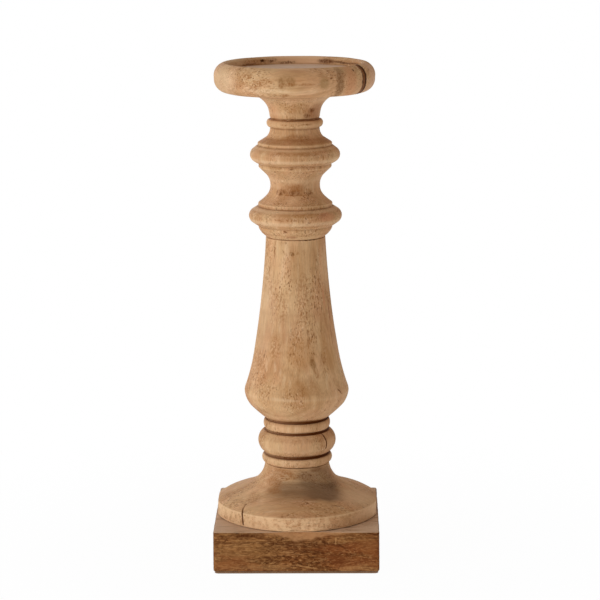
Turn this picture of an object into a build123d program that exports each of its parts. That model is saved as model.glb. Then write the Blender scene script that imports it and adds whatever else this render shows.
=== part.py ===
"""Candle stand turned and sawn from mango wood, for one wide pillar candle.

Millimetres. +Z is up, and the origin is the centre of the underside, on the felt.
A square plinth carries a round foot with two sawn flats. On it stand the baluster and the column, each
turned in one piece, and the dished cup. Loose dowels join the turned pieces, and four screws hold the
plinth under the foot.
"""
import os

from build123d import *

os.makedirs("parts", exist_ok=True)

# Whole stand, from the felt to the crest of the rim
stand_height = 378.3

# Felt sheet under the plinth
felt_inset = 1.0
felt_thickness = 1.5
felt_corner_radius = 3.0

# Plinth, a square block
plinth_width = 125.0
plinth_height = 31.0
plinth_corner_round = 1.6
plinth_edge_round = 1.0

# Foot, a turned disc as wide as the plinth, sweeping up to a neck, with a flat sawn on two sides
foot_inset = 0.1
foot_flat_inset = 1.8
foot_radius = plinth_width / 2 - foot_inset
foot_flat_width = plinth_width - 2 * foot_flat_inset
foot_heel_bevel = 0.5
foot_rim_height = 9.2
foot_edge_round = 1.0
foot_waist_radius = 33.0
foot_waist_height = 13.0
foot_neck_radius = 24.7
foot_neck_height = 14.8
foot_sweep_bow_share = -0.049
foot_neck_bow_share = -0.11
foot_edge_bow_share = 0.2

# Knop at the bottom of the baluster: a ring, a torus and a ring, between narrow grooves
knop_groove_radius = 24.0
knop_low_ring_radius = 27.0
knop_low_ring_height = 8.3
knop_torus_radius = 29.9
knop_torus_height = 18.4
knop_high_ring_radius = 25.6
knop_high_ring_height = 8.9

# Baluster above the knop: a belly, and a long taper that takes the height the rest leaves
belly_hip_radius = 35.8
belly_hip_height = 10.9
belly_radius = 40.0
belly_height = 10.5
belly_shoulder_radius = 38.8
belly_shoulder_height = 4.6
taper_waist_radius = 31.8
taper_waist_height = 29.0
taper_top_radius = 22.6
belly_hip_bow_share = 0.015
belly_bow_share = 0.076
belly_shoulder_bow_share = 0.04
taper_waist_bow_share = -0.023
taper_bow_share = -0.0146

# Column, lower knop: an ovolo, a fillet, a nosed torus and a fillet
collar_height = 0.7
ovolo_radius = 27.9
ovolo_height = 6.1
low_fillet_radius = 28.2
low_fillet_height = 1.5
low_torus_flank_radius = 33.0
low_torus_flank_height = 3.3
low_torus_radius = 35.2
low_torus_nose_height = 9.0
low_torus_top_height = 3.1
low_cap_radius = 28.1
low_cap_height = 2.2
ovolo_bow_share = 0.076

# Column, hollow between the knops
hollow_low_radius = 22.2
hollow_low_height = 4.9
hollow_radius = 18.75
hollow_low_half_height = 8.3
hollow_high_radius = 22.1
hollow_high_half_height = 8.7
hollow_top_height = 5.2
hollow_low_bow_share = -0.03
hollow_half_bow_share = -0.105

# Column, upper knop: a fillet, a nosed torus and a fillet
high_fillet_radius = 27.6
high_fillet_height = 2.2
high_torus_flank_radius = 31.8
high_torus_flank_height = 2.6
high_torus_radius = 34.0
high_torus_nose_height = 9.0
high_torus_top_height = 2.9
high_cap_radius = 28.1
high_cap_height = 1.7

# Column, throat, bead and neck under the cup
throat_radius = 21.4
throat_height = 4.3
throat_foot_radius = 18.8
throat_foot_height = 7.0
bead_radius = 21.3
bead_height = 7.0
neck_radius = 20.2
neck_height = 8.2
flare_radius = 30.5
flare_height = 9.0
throat_foot_bow_share = -0.105
neck_bow_share = -0.04
flare_bow_share = -0.11

# Cup, a thick plate with a rolled rim round a shallow seat
cup_underside_radius = 53.0
cup_underside_rise = 2.8
cup_radius = 60.3
cup_low_height = 10.2
cup_crest_radius = 53.0
cup_high_height = 11.6
cup_seat_radius = 49.6
cup_lip_radius = 50.0
cup_lip_drop = 1.6
cup_seat_drop = 4.3
cup_low_bow_share = 0.18
cup_high_bow_share = 0.2
cup_lip_bow_share = 0.12

# Dowels between the turned pieces, and the screws through the plinth
dowel_clearance = 0.1
dowel_end_gap = 0.8
dowel_bevel = 1.0
cup_dowel_radius = 8.0
cup_dowel_length = 34.0
column_dowel_radius = 10.0
column_dowel_length = 50.0
foot_dowel_radius = 10.0
foot_dowel_length = 50.0
screw_spacing = 52.0
screw_radius = 2.1
screw_shank_length = 33.0
screw_point_radius = 0.3
screw_point_length = 4.0
screw_head_radius = 4.2
screw_head_height = 2.6
screw_slot_width = 1.0
screw_slot_depth = 1.2
screw_hole_clearance = 0.3
screw_pilot_clearance = 0.05
screw_counterbore_radius = 5.5
screw_counterbore_depth = 4.0

# Levels of the joints, from the underside up
plinth_level = felt_thickness
foot_level = plinth_level + plinth_height
foot_height = foot_heel_bevel + foot_rim_height + foot_edge_round + foot_waist_height + foot_neck_height
baluster_level = foot_level + foot_height
knop_height = knop_low_ring_height + knop_torus_height + knop_high_ring_height
belly_total_height = belly_hip_height + belly_height + belly_shoulder_height
low_knop_height = (collar_height + ovolo_height + low_fillet_height + low_torus_flank_height
                   + low_torus_nose_height + low_torus_top_height + low_cap_height)
hollow_height = hollow_low_height + hollow_low_half_height + hollow_high_half_height + hollow_top_height
high_knop_height = (high_fillet_height + high_torus_flank_height + high_torus_nose_height
                    + high_torus_top_height + high_cap_height)
throat_total_height = throat_height + throat_foot_height + bead_height + neck_height + flare_height
column_height = low_knop_height + hollow_height + high_knop_height + throat_total_height
cup_height = cup_underside_rise + cup_low_height + cup_high_height
cup_level = stand_height - cup_height
column_level = cup_level - column_height
taper_height = column_level - baluster_level - knop_height - belly_total_height - taper_waist_height


def bulge(outer_radius, end_radius, height):
    """Bow share of an arc of that height, with its ends at one radius and its middle at another."""
    return (outer_radius - end_radius) / height


def turned(level, start_radius, members):
    """Solid of revolution about Z, outlined from its bottom face up.

    Each member is its rise, the radius at its end and its bow: how far an arc stands out from the straight
    line between its ends, as a share of that line's length. A bow of zero is a straight line.
    """
    here = Vector(start_radius, 0, level)
    edges = [Line(Vector(0, 0, level), here)]
    for rise, radius, bow_share in members:
        there = Vector(radius, 0, here.Z + rise)
        if bow_share:
            across = Vector(there.Z - here.Z, 0, here.X - there.X)
            edges.append(ThreePointArc(here, (here + there) / 2 + across * bow_share, there))
        else:
            edges.append(Line(here, there))
        here = there
    on_axis = Vector(0, 0, here.Z)
    if here.X:
        edges.append(Line(here, on_axis))
    edges.append(Line(on_axis, Vector(0, 0, level)))
    return revolve(Face(Wire(edges)), axis=Axis.Z)


def upright(radius, low, high):
    """Cylinder on the Z axis between two levels."""
    return Pos(0, 0, low) * Cylinder(radius, high - low, align=(Align.CENTER, Align.CENTER, Align.MIN))


def dowel(radius, length, joint_level):
    """Round dowel with bevelled ends, half on each side of a joint."""
    pin = upright(radius, joint_level - length / 2, joint_level + length / 2)
    return chamfer(pin.edges().filter_by(GeomType.CIRCLE), dowel_bevel)


def socket(radius, length, joint_level):
    """Room for a dowel on both sides of its joint, with a little clearance round it and past its ends."""
    reach = length / 2 + dowel_end_gap
    return upright(radius + dowel_clearance, joint_level - reach, joint_level + reach)


def screw_places():
    """The four places of the screws, on a square round the axis."""
    return GridLocations(screw_spacing, screw_spacing, 2, 2)


def make_felt():
    width = plinth_width - 2 * felt_inset
    sheet = Rectangle(width, width)
    return extrude(fillet(sheet.vertices(), felt_corner_radius), felt_thickness)


def make_plinth():
    block = Pos(0, 0, plinth_level) * Box(
        plinth_width, plinth_width, plinth_height, align=(Align.CENTER, Align.CENTER, Align.MIN)
    )
    block = fillet(block.edges().filter_by(Axis.Z), plinth_corner_round)
    level_edges = block.faces().sort_by(Axis.Z)[0].edges() + block.faces().sort_by(Axis.Z)[-1].edges()
    block = fillet(level_edges, plinth_edge_round)
    seat = plinth_level + screw_counterbore_depth
    hole_radius = screw_radius + screw_hole_clearance
    hole = turned(plinth_level, screw_counterbore_radius, [
        (screw_counterbore_depth, screw_counterbore_radius, 0),
        (0, screw_head_radius + screw_hole_clearance, 0),
        (screw_head_height, hole_radius, 0),
        (foot_level - seat - screw_head_height, hole_radius, 0),
    ])
    return block - [place * hole for place in screw_places()]


def make_foot():
    edge_radius = foot_radius - foot_edge_round
    disc = turned(foot_level, foot_radius - foot_heel_bevel, [
        (foot_heel_bevel, foot_radius, 0),
        (foot_rim_height, foot_radius, 0),
        (foot_edge_round, edge_radius, foot_edge_bow_share),
        (foot_waist_height, foot_waist_radius, foot_sweep_bow_share),
        (foot_neck_height, foot_neck_radius, foot_neck_bow_share),
    ])
    blank = Pos(0, 0, foot_level) * Box(
        foot_flat_width, 2 * foot_radius, foot_height, align=(Align.CENTER, Align.CENTER, Align.MIN)
    )
    screw_reach = screw_head_height + screw_shank_length + screw_point_length
    pilot_top = plinth_level + screw_counterbore_depth + screw_reach + dowel_end_gap
    pilot = upright(screw_radius + screw_pilot_clearance, foot_level, pilot_top)
    holes = [place * pilot for place in screw_places()]
    return disc & blank - holes - socket(foot_dowel_radius, foot_dowel_length, baluster_level)


def make_baluster():
    low_ring_bow = bulge(knop_low_ring_radius, knop_groove_radius, knop_low_ring_height)
    torus_bow = bulge(knop_torus_radius, knop_groove_radius, knop_torus_height)
    high_ring_bow = bulge(knop_high_ring_radius, knop_groove_radius, knop_high_ring_height)
    spindle = turned(baluster_level, knop_groove_radius, [
        (knop_low_ring_height, knop_groove_radius, low_ring_bow),
        (knop_torus_height, knop_groove_radius, torus_bow),
        (knop_high_ring_height, knop_groove_radius, high_ring_bow),
        (belly_hip_height, belly_hip_radius, belly_hip_bow_share),
        (belly_height, belly_radius, belly_bow_share),
        (belly_shoulder_height, belly_shoulder_radius, belly_shoulder_bow_share),
        (taper_waist_height, taper_waist_radius, taper_waist_bow_share),
        (taper_height, taper_top_radius, taper_bow_share),
    ])
    foot_socket = socket(foot_dowel_radius, foot_dowel_length, baluster_level)
    column_socket = socket(column_dowel_radius, column_dowel_length, column_level)
    return spindle - foot_socket - column_socket


def make_column():
    low_nose_bow = bulge(low_torus_radius, low_torus_flank_radius, low_torus_nose_height)
    high_nose_bow = bulge(high_torus_radius, high_torus_flank_radius, high_torus_nose_height)
    bead_bow = bulge(bead_radius, throat_foot_radius, bead_height)
    spindle = turned(column_level, taper_top_radius, [
        (collar_height, taper_top_radius, 0),
        (ovolo_height, ovolo_radius, ovolo_bow_share),
        (low_fillet_height, low_fillet_radius, 0),
        (low_torus_flank_height, low_torus_flank_radius, 0),
        (low_torus_nose_height, low_torus_flank_radius, low_nose_bow),
        (low_torus_top_height, low_fillet_radius, 0),
        (low_cap_height, low_cap_radius, 0),
        (hollow_low_height, hollow_low_radius, hollow_low_bow_share),
        (hollow_low_half_height, hollow_radius, hollow_half_bow_share),
        (hollow_high_half_height, hollow_high_radius, hollow_half_bow_share),
        (hollow_top_height, high_fillet_radius, 0),
        (high_fillet_height, high_fillet_radius, 0),
        (high_torus_flank_height, high_torus_flank_radius, 0),
        (high_torus_nose_height, high_torus_flank_radius, high_nose_bow),
        (high_torus_top_height, high_cap_radius, 0),
        (high_cap_height, high_cap_radius, 0),
        (throat_height, throat_radius, 0),
        (throat_foot_height, throat_foot_radius, throat_foot_bow_share),
        (bead_height, throat_foot_radius, bead_bow),
        (neck_height, neck_radius, neck_bow_share),
        (flare_height, flare_radius, flare_bow_share),
    ])
    column_socket = socket(column_dowel_radius, column_dowel_length, column_level)
    cup_socket = socket(cup_dowel_radius, cup_dowel_length, cup_level)
    return spindle - column_socket - cup_socket


def make_cup():
    plate = turned(cup_level, flare_radius, [
        (cup_underside_rise, cup_underside_radius, 0),
        (cup_low_height, cup_radius, cup_low_bow_share),
        (cup_high_height, cup_crest_radius, cup_high_bow_share),
        (-cup_lip_drop, cup_lip_radius, cup_lip_bow_share),
        (-cup_seat_drop, cup_seat_radius, 0),
    ])
    return plate - socket(cup_dowel_radius, cup_dowel_length, cup_level)


def make_screws():
    """Four countersunk wood screws, heads down in the plinth and points up in the foot."""
    seat = plinth_level + screw_counterbore_depth
    body = turned(seat, screw_head_radius, [
        (screw_head_height, screw_radius, 0),
        (screw_shank_length, screw_radius, 0),
        (screw_point_length, screw_point_radius, 0),
    ])
    slot = Pos(0, 0, seat) * Box(
        2 * screw_head_radius,
        screw_slot_width,
        screw_slot_depth,
        align=(Align.CENTER, Align.CENTER, Align.MIN),
    )
    screw = body - slot
    return Compound([place * screw for place in screw_places()])


parts = {
    "base_felt": make_felt(),
    "plinth": make_plinth(),
    "plinth_screws": make_screws(),
    "foot": make_foot(),
    "foot_dowel": dowel(foot_dowel_radius, foot_dowel_length, baluster_level),
    "baluster": make_baluster(),
    "column_dowel": dowel(column_dowel_radius, column_dowel_length, column_level),
    "column": make_column(),
    "cup_dowel": dowel(cup_dowel_radius, cup_dowel_length, cup_level),
    "cup": make_cup(),
}

for name, shape in parts.items():
    export_step(shape, f"parts/{name}.step")

print(f"joints at {foot_level:.1f}, {baluster_level:.1f}, {column_level:.1f} and {cup_level:.1f} mm")
print(f"rim at {stand_height:.1f} mm, candle seat at {stand_height - cup_lip_drop - cup_seat_drop:.1f} mm")
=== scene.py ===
"""Looks of the candle stand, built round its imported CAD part.

Each wooden piece is a turned or sawn surface worked out as a grid, with a wood of its own. The felt, the
screws and the dowels keep their CAD shapes. The lengths of the pieces are in millimetres until mm scales them
to the frame's metres. +Z is up, and the front is towards -Y.
"""
import math

import bpy
import numpy as np
from mathutils import Matrix, Vector


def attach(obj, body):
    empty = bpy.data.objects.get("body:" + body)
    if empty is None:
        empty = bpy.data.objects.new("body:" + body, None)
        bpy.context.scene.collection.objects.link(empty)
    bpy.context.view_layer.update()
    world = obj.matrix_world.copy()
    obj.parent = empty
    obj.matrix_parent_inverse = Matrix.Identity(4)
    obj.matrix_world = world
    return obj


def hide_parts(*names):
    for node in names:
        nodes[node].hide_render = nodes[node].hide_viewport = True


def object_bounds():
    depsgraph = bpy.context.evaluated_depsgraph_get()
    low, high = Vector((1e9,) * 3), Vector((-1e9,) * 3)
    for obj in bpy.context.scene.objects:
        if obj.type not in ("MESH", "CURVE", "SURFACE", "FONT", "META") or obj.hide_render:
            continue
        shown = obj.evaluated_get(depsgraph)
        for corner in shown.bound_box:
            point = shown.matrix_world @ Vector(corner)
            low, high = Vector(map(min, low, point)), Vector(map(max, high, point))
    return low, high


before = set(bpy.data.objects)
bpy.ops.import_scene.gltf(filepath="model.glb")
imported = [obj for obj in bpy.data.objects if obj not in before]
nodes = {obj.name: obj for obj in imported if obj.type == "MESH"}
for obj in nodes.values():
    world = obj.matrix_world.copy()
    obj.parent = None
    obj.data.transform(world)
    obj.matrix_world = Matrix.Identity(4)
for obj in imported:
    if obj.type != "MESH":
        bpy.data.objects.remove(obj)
cad_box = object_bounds()
scene = bpy.context.scene
mm = 0.001

# Camera. It stands 1.7 m in front of the stand, a little above the cup, and looks down at the photo's angle.
# Its small roll follows the lean of the real stem.
camera_distance = 1725.0 * mm
camera_height = 530.8 * mm
camera_sidestep = 3.05 * mm
look_down = math.radians(10.944)
walk_round = math.radians(0.894)
roll = math.radians(-0.376)
lens = bpy.data.cameras.new("camera")
lens.sensor_width = 36.0
lens.lens = 138.53
camera = bpy.data.objects.new("camera", lens)
camera.matrix_world = (
    Matrix.Rotation(walk_round, 4, "Z")
    @ Matrix.Translation((camera_sidestep, -camera_distance, camera_height))
    @ Matrix.Rotation(math.pi / 2 - look_down, 4, "X")
    @ Matrix.Rotation(roll, 4, "Z")
)
scene.collection.objects.link(camera)
scene.camera = camera
scene.view_settings.view_transform = "Standard"


# Light. A big soft lamp in front on the left, a weak one behind, and a dim room that is paler on the left.
# The room shows white to the camera only. Much of the soft light comes up from the floor.
def add(tree, kind, inputs=(), **settings):
    """New node in a tree. inputs gives sockets, by name or number, a value or the output that feeds them."""
    made = tree.nodes.new(kind)
    for key, value in settings.items():
        setattr(made, key, value)
    for key, value in dict(inputs).items():
        if isinstance(value, bpy.types.NodeSocket):
            tree.links.new(value, made.inputs[key])
        else:
            made.inputs[key].default_value = value
    return made


def reckon(tree, operation, *terms):
    """Output of a Math node on one, two or three terms."""
    return add(tree, "ShaderNodeMath", enumerate(terms), operation=operation).outputs[0]


def seen_rays(tree):
    """1 on the rays from the camera, and 0 on those that light a surface."""
    return add(tree, "ShaderNodeLightPath").outputs["Is Camera Ray"]


room_light = 0.5
room_lean = 0.13
shade_tone = (1.0, 0.86, 0.74, 1.0)
shade_from = -0.6
shade_to = 0.8
world = bpy.data.worlds.new("studio")
world.use_nodes = True
scene.world = world
tree = world.node_tree
room = tree.nodes["Background"]
direction = add(tree, "ShaderNodeTexCoord").outputs["Generated"]
sideways = add(tree, "ShaderNodeSeparateXYZ", {0: direction}).outputs["X"]
seen = seen_rays(tree)
lit = reckon(tree, "MULTIPLY_ADD", sideways, -room_lean, room_light)
strength = reckon(tree, "MULTIPLY_ADD", seen, reckon(tree, "SUBTRACT", 1.0, lit), lit)
tree.links.new(strength, room.inputs["Strength"])
shade_range = {"Value": sideways, "From Min": shade_from, "From Max": shade_to}
warmth = add(tree, "ShaderNodeMapRange", shade_range).outputs["Result"]
warmth = reckon(tree, "MULTIPLY", warmth, reckon(tree, "SUBTRACT", 1.0, seen))
tinted = add(tree, "ShaderNodeMixRGB", {0: warmth, 1: (1.0, 1.0, 1.0, 1.0), 2: shade_tone})
tree.links.new(tinted.outputs[0], room.inputs["Color"])

lamp_tone = (0.95, 1.0, 1.08)
stand_middle = Vector((0, 0, 190 * mm))
for name, watts, size, spot in (
    ("key_lamp", 24.0, 1.3, (-1.65, -1.0, 0.35)),
    ("back_lamp", 5.0, 1.3, (-0.6, 1.8, 0.7)),
):
    lamp = bpy.data.lights.new(name, "AREA")
    lamp.energy = watts
    lamp.color = lamp_tone
    lamp.size = size
    holder = bpy.data.objects.new(name, lamp)
    holder.location = spot
    holder.rotation_euler = (stand_middle - Vector(spot)).to_track_quat("-Z", "Y").to_euler()
    scene.collection.objects.link(holder)


# Floor. A plain white sheet, bright as under studio lamps, that throws light up under the mouldings.
# It fades into the white room, and keeps the soft shadow of the stand.
def reckon_vector(tree, operation, *terms):
    """Output of a Vector Math node on one, two or three terms: a number for LENGTH, otherwise a vector."""
    node = add(tree, "ShaderNodeVectorMath", enumerate(terms), operation=operation)
    return node.outputs["Value" if operation == "LENGTH" else "Vector"]


def step_up(tree, value, low, high, bottom=0.0, top=1.0):
    """Smooth step from bottom to top as the value goes from low to high."""
    inputs = {"Value": value, "From Min": low, "From Max": high, "To Min": bottom, "To Max": top}
    return add(tree, "ShaderNodeMapRange", inputs, interpolation_type="SMOOTHSTEP").outputs["Result"]


floor_reach = 4.0
floor_fade_from = 0.09
floor_fade_to = 0.4
floor_glow = 0.975
floor_bounce = 0.75
floor_mesh = bpy.data.meshes.new("floor")
floor_corners = [(x * floor_reach, y * floor_reach, 0) for x, y in ((-1, -1), (1, -1), (1, 1), (-1, 1))]
floor_mesh.from_pydata(floor_corners, [], [(0, 1, 2, 3)])
floor = bpy.data.objects.new("floor", floor_mesh)
scene.collection.objects.link(floor)
white_sheet = bpy.data.materials.new("white_sheet")
white_sheet.use_nodes = True
tree = white_sheet.node_tree
sheet = tree.nodes["Principled BSDF"]
sheet.inputs["Base Color"].default_value = (0.86, 0.86, 0.86, 1.0)
sheet.inputs["Roughness"].default_value = 0.9
sheet.inputs["Specular IOR Level"].default_value = 0.1
away = reckon_vector(tree, "LENGTH", add(tree, "ShaderNodeTexCoord").outputs["Object"])
fade = step_up(tree, away, floor_fade_from, floor_fade_to, floor_glow)
glow = add(tree, "ShaderNodeEmission")
more = reckon(tree, "SUBTRACT", fade, floor_bounce)
share = reckon(tree, "MULTIPLY_ADD", seen_rays(tree), more, floor_bounce)
both = add(tree, "ShaderNodeMixShader", {0: share, 1: sheet.outputs[0], 2: glow.outputs[0]})
tree.links.new(both.outputs[0], tree.nodes["Material Output"].inputs["Surface"])
floor_mesh.materials.append(white_sheet)


# Felt sheet. Pressed light brown felt, 1.5 mm thick, glued under the plinth, where it covers the screw heads.
# It keeps its CAD shape, and its short matted fibres are in the finish.
def tint(red, green, blue):
    """Linear colour of a paint swatch given in the usual 0 to 255 steps."""
    steps = np.array([red, green, blue]) / 255
    linear = np.where(steps <= 0.04045, steps / 12.92, ((steps + 0.055) / 1.055) ** 2.4)
    return (*linear.tolist(), 1.0)


def finish(name, roughness, gloss=0.5, sheen_tone=(1.0, 1.0, 1.0, 1.0)):
    """New finish: its material, its node tree, its shader and the place on the piece."""
    material = bpy.data.materials.new(name)
    material.use_nodes = True
    tree = material.node_tree
    surface = tree.nodes["Principled BSDF"]
    surface.inputs["Roughness"].default_value = roughness
    surface.inputs["Specular IOR Level"].default_value = gloss
    surface.inputs["Specular Tint"].default_value = sheen_tone
    return material, tree, surface, add(tree, "ShaderNodeTexCoord").outputs["Object"]


def cloud(tree, place, per_metre, detail=2.0, swirl=0.0):
    """Noise from 0 to 1 about 0.5, with that many cells to the metre along each axis, curled by swirl."""
    spread = add(tree, "ShaderNodeMapping", {"Vector": place, "Scale": per_metre}).outputs[0]
    inputs = {"Vector": spread, "Scale": 1.0, "Detail": detail, "Distortion": swirl}
    return add(tree, "ShaderNodeTexNoise", inputs).outputs["Fac"]


def mix(tree, share, first, second, how="MIX"):
    """Colour between two colours."""
    return add(tree, "ShaderNodeMixRGB", {0: share, 1: first, 2: second}, blend_type=how).outputs[0]


def laid(tree, colour, tone, noise, low, high, strength=1.0, within=None):
    """Colour with a tone laid over it, up to that strength, as the noise goes from low to high.

    within is a share from 0 to 1 that keeps the tone to a part of the surface.
    """
    share = step_up(tree, noise, low, high, 0, strength)
    if within is not None:
        share = reckon(tree, "MULTIPLY", share, within)
    return mix(tree, share, colour, tone)


def coat(tree, surface, colour, height, depth):
    """Gives a shader its colour, and a bump from a height of 0 to 1 that stands for that depth in metres."""
    tree.links.new(colour, surface.inputs["Base Color"])
    bump = add(tree, "ShaderNodeBump", {"Height": height, "Distance": depth, "Strength": 1.0})
    tree.links.new(bump.outputs[0], surface.inputs["Normal"])


def dress(node_name, material):
    """Gives a CAD node its finish."""
    for slot in nodes[node_name].material_slots:
        slot.material = material


pressed_tone = tint(112, 80, 52)
matted_tone = tint(126, 92, 62)
fibre_tone = tint(146, 112, 80)
felt, tree, surface, place = finish("brown_felt", 0.95, 0.15)
surface.inputs["Sheen Weight"].default_value = 0.35
surface.inputs["Sheen Roughness"].default_value = 0.6
fibres = cloud(tree, place, (2600, 2600, 900), 4.0)
matting = cloud(tree, place, (160, 160, 160), 3.0)
colour = laid(tree, pressed_tone, matted_tone, matting, 0.35, 0.65)
colour = laid(tree, colour, fibre_tone, fibres, 0.5, 0.68)
coat(tree, surface, colour, fibres, 0.3 * mm)
dress("base_felt", felt)


# Plinth. A square block sawn from a darker mango plank, its grain across the front, waxed and sanded by hand.
# Its edges are worn, and the front top edge is rubbed to a pale hollow under the foot.
def level_range(node_name):
    """Lowest and highest level of a CAD node, in millimetres."""
    levels = [corner[2] / mm for corner in nodes[node_name].bound_box]
    return round(min(levels), 2), round(max(levels), 2)


def ripples(across, up, seed, count, tightest):
    """Smooth random relief of about 0.7 either way: a sum of cosine waves over the root of their count.

    Each wave's numbers to the radian or millimetre are drawn up to the tightest pair. The first is a whole
    number, which keeps the relief closed round a turned piece.
    """
    draw = np.random.default_rng(seed)
    total = np.zeros(np.broadcast(across, up).shape)
    for _ in range(count):
        round_count = draw.integers(0, tightest[0] + 1)
        up_count = draw.uniform(-tightest[1], tightest[1])
        total += np.cos(round_count * across + up_count * up + draw.uniform(0, 2 * math.pi))
    return total / math.sqrt(count)


def closed_grid(name, points, masks, material, slot, *replaced):
    """Closed piece from a grid of points, row by row from its lower pole, over its outside, to its upper pole.

    Each row goes once round, anticlockwise from above. The first and the last row are single points, each the
    mean of its row. masks holds named values from 0 to 1 for each point, or for each row.
    """
    rows, around = points.shape[:2]
    ring = np.arange(rows - 2)[:, None] * around + np.arange(around) + 1
    beside = np.roll(ring, -1, axis=1)
    last = ring[-1, -1] + 1
    quads = np.stack([ring[:-1], beside[:-1], beside[1:], ring[1:]], axis=-1).reshape(-1, 4)
    below = np.stack([np.zeros(around, int), beside[0], ring[0]], axis=-1)
    above = np.stack([np.full(around, last), ring[-1], beside[-1]], axis=-1)

    def single(values):
        flat = values[1:-1].reshape(-1, *values.shape[2:])
        return np.concatenate([values[:1].mean(axis=1), flat, values[-1:].mean(axis=1)])

    mesh = bpy.data.meshes.new(name)
    corners = np.concatenate([quads.ravel(), below.ravel(), above.ravel()])
    sizes = np.concatenate([np.full(len(quads), 4), np.full(2 * around, 3)])
    mesh.vertices.add(last + 1)
    mesh.loops.add(len(corners))
    mesh.polygons.add(len(sizes))
    mesh.vertices.foreach_set("co", single(points).astype(np.float32).ravel())
    mesh.loops.foreach_set("vertex_index", corners.astype(np.int32))
    mesh.polygons.foreach_set("loop_start", (np.cumsum(sizes) - sizes).astype(np.int32))
    mesh.polygons.foreach_set("use_smooth", np.ones(len(sizes), bool))
    for mask, values in masks.items():
        held = mesh.attributes.new(mask, "FLOAT", "POINT")
        held.data.foreach_set("value", single(np.broadcast_to(values, (rows, around))).astype(np.float32))
    mesh.update(calc_edges=True)
    mesh.materials.append(material)
    piece = bpy.data.objects.new(name, mesh)
    scene.collection.objects.link(piece)
    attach(piece, "root")
    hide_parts(*replaced)


def smooth(values, low, high):
    """Smooth step on an array, from 0 at low to 1 at high: the cubic with level ends."""
    part = np.clip((values - low) / (high - low), 0, 1)
    return part * part * (3 - 2 * part)


plinth_half = round(cad_box[1][0] / mm, 2)
plinth_bottom, plinth_top = level_range("plinth")
plinth_corner = 2.2
plinth_edge = 1.2
lines_to_a_side = 150
lines_to_a_corner = 10
rows_to_a_face = 30
rows_to_an_edge = 7
rows_to_a_side = 58
# The outline is one side with its rounded corner, turned three times. Each point has its direction outwards.
flat = np.linspace(plinth_corner - plinth_half, plinth_half - plinth_corner, lines_to_a_side)
bend = np.radians(np.linspace(-90, 0, lines_to_a_corner)[1:-1])
corner_x = plinth_half - plinth_corner + plinth_corner * np.cos(bend)
corner_y = plinth_corner - plinth_half + plinth_corner * np.sin(bend)
side_x = np.concatenate([flat, corner_x])
side_y = np.concatenate([np.full(len(flat), -plinth_half), corner_y])
out_x = np.concatenate([np.zeros(len(flat)), np.cos(bend)])
out_y = np.concatenate([np.full(len(flat), -1.0), np.sin(bend)])
outline_x = np.concatenate([side_x, -side_y, -side_x, side_y])
outline_y = np.concatenate([side_y, side_x, -side_y, -side_x])
normal_x = np.concatenate([out_x, -out_y, -out_x, out_y])
normal_y = np.concatenate([out_y, out_x, -out_y, -out_x])
# The rows run from the middle of the underside, round the lower edge, up the sides, and in over the top. Each
# has an inset from the outline, a height, a share of the way out, and the rise of its direction outwards.
turn = np.linspace(0, math.pi / 2, rows_to_an_edge)
cover = np.linspace(0, 1, rows_to_a_face) ** 0.6
face = np.ones(rows_to_a_face - 1)
upright = np.linspace(plinth_bottom + plinth_edge, plinth_top - plinth_edge, rows_to_a_side)[1:-1]
row_inset = np.concatenate([
    plinth_edge * face,
    plinth_edge * (1 - np.sin(turn)),
    np.zeros(len(upright)),
    plinth_edge * (1 - np.cos(turn)),
    plinth_edge * face,
])
row_height = np.concatenate([
    plinth_bottom * face,
    plinth_bottom + plinth_edge * (1 - np.cos(turn)),
    upright,
    plinth_top - plinth_edge * (1 - np.sin(turn)),
    plinth_top * face,
])
row_cover = np.concatenate([cover[:-1], np.ones(2 * len(turn) + len(upright)), cover[-2::-1]])
row_rise = np.concatenate([-face, -np.cos(turn), np.zeros(len(upright)), np.sin(turn), face])
row_out = np.sqrt(1 - row_rise**2)
block_x = (outline_x - normal_x * row_inset[:, None]) * row_cover[:, None]
block_y = (outline_y - normal_y * row_inset[:, None]) * row_cover[:, None]
block_z = np.broadcast_to(row_height[:, None], block_x.shape).copy()
# Sanding has left the faces a little uneven.
sag = 0.16 + 0.07 * ripples(block_x, block_z + 1.7 * block_y, 3, 24, (0, 0.25))
sag += 0.035 * ripples(block_x * 0.3, block_z + 0.4 * block_x + block_y, 4, 20, (1, 2.2))
sag = np.clip(sag, 0, None)
block_x -= sag * normal_x * row_out[:, None]
block_y -= sag * normal_y * row_out[:, None]
block_z -= sag * row_rise[:, None]
# The rubbed hollow: points outside a plane that leans over the front top edge move back to it.
hollow_lean = math.radians(14)
hollow_middle = 1.5
hollow_depth = 1.85
hollow_left = 16.0
hollow_right = 24.0
hollow_blend = 0.25
hollow_from = plinth_half - 14
hollow_full = plinth_half - 8


def hollow_bite(sideways):
    """How far the rubbed hollow cuts back into the front edge, in millimetres.

    It is a ragged peak that falls off as exp(-(distance / width) ** 1.25), with a smaller width on the left.
    """
    off = sideways - hollow_middle
    peak = hollow_depth * np.exp(-np.abs(off / np.where(off < 0, hollow_left, hollow_right)) ** 1.25)
    return peak * (1 + 0.12 * ripples(sideways * 0.3, 0, 6, 12, (3, 0)))


bite = hollow_bite(block_x)
over = bite - (block_y + plinth_half) * math.cos(hollow_lean)
over += (block_z - plinth_top) * math.sin(hollow_lean)
push = hollow_blend * np.log1p(np.exp(np.clip(over / hollow_blend, -30, 30)))
push *= smooth(-block_y, hollow_from, hollow_full) * smooth(bite, 0.1, 0.4)
block_y += push * math.cos(hollow_lean)
block_z -= push * math.sin(hollow_lean)
rubbed = smooth(push, 0.02, 0.22)


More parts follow.
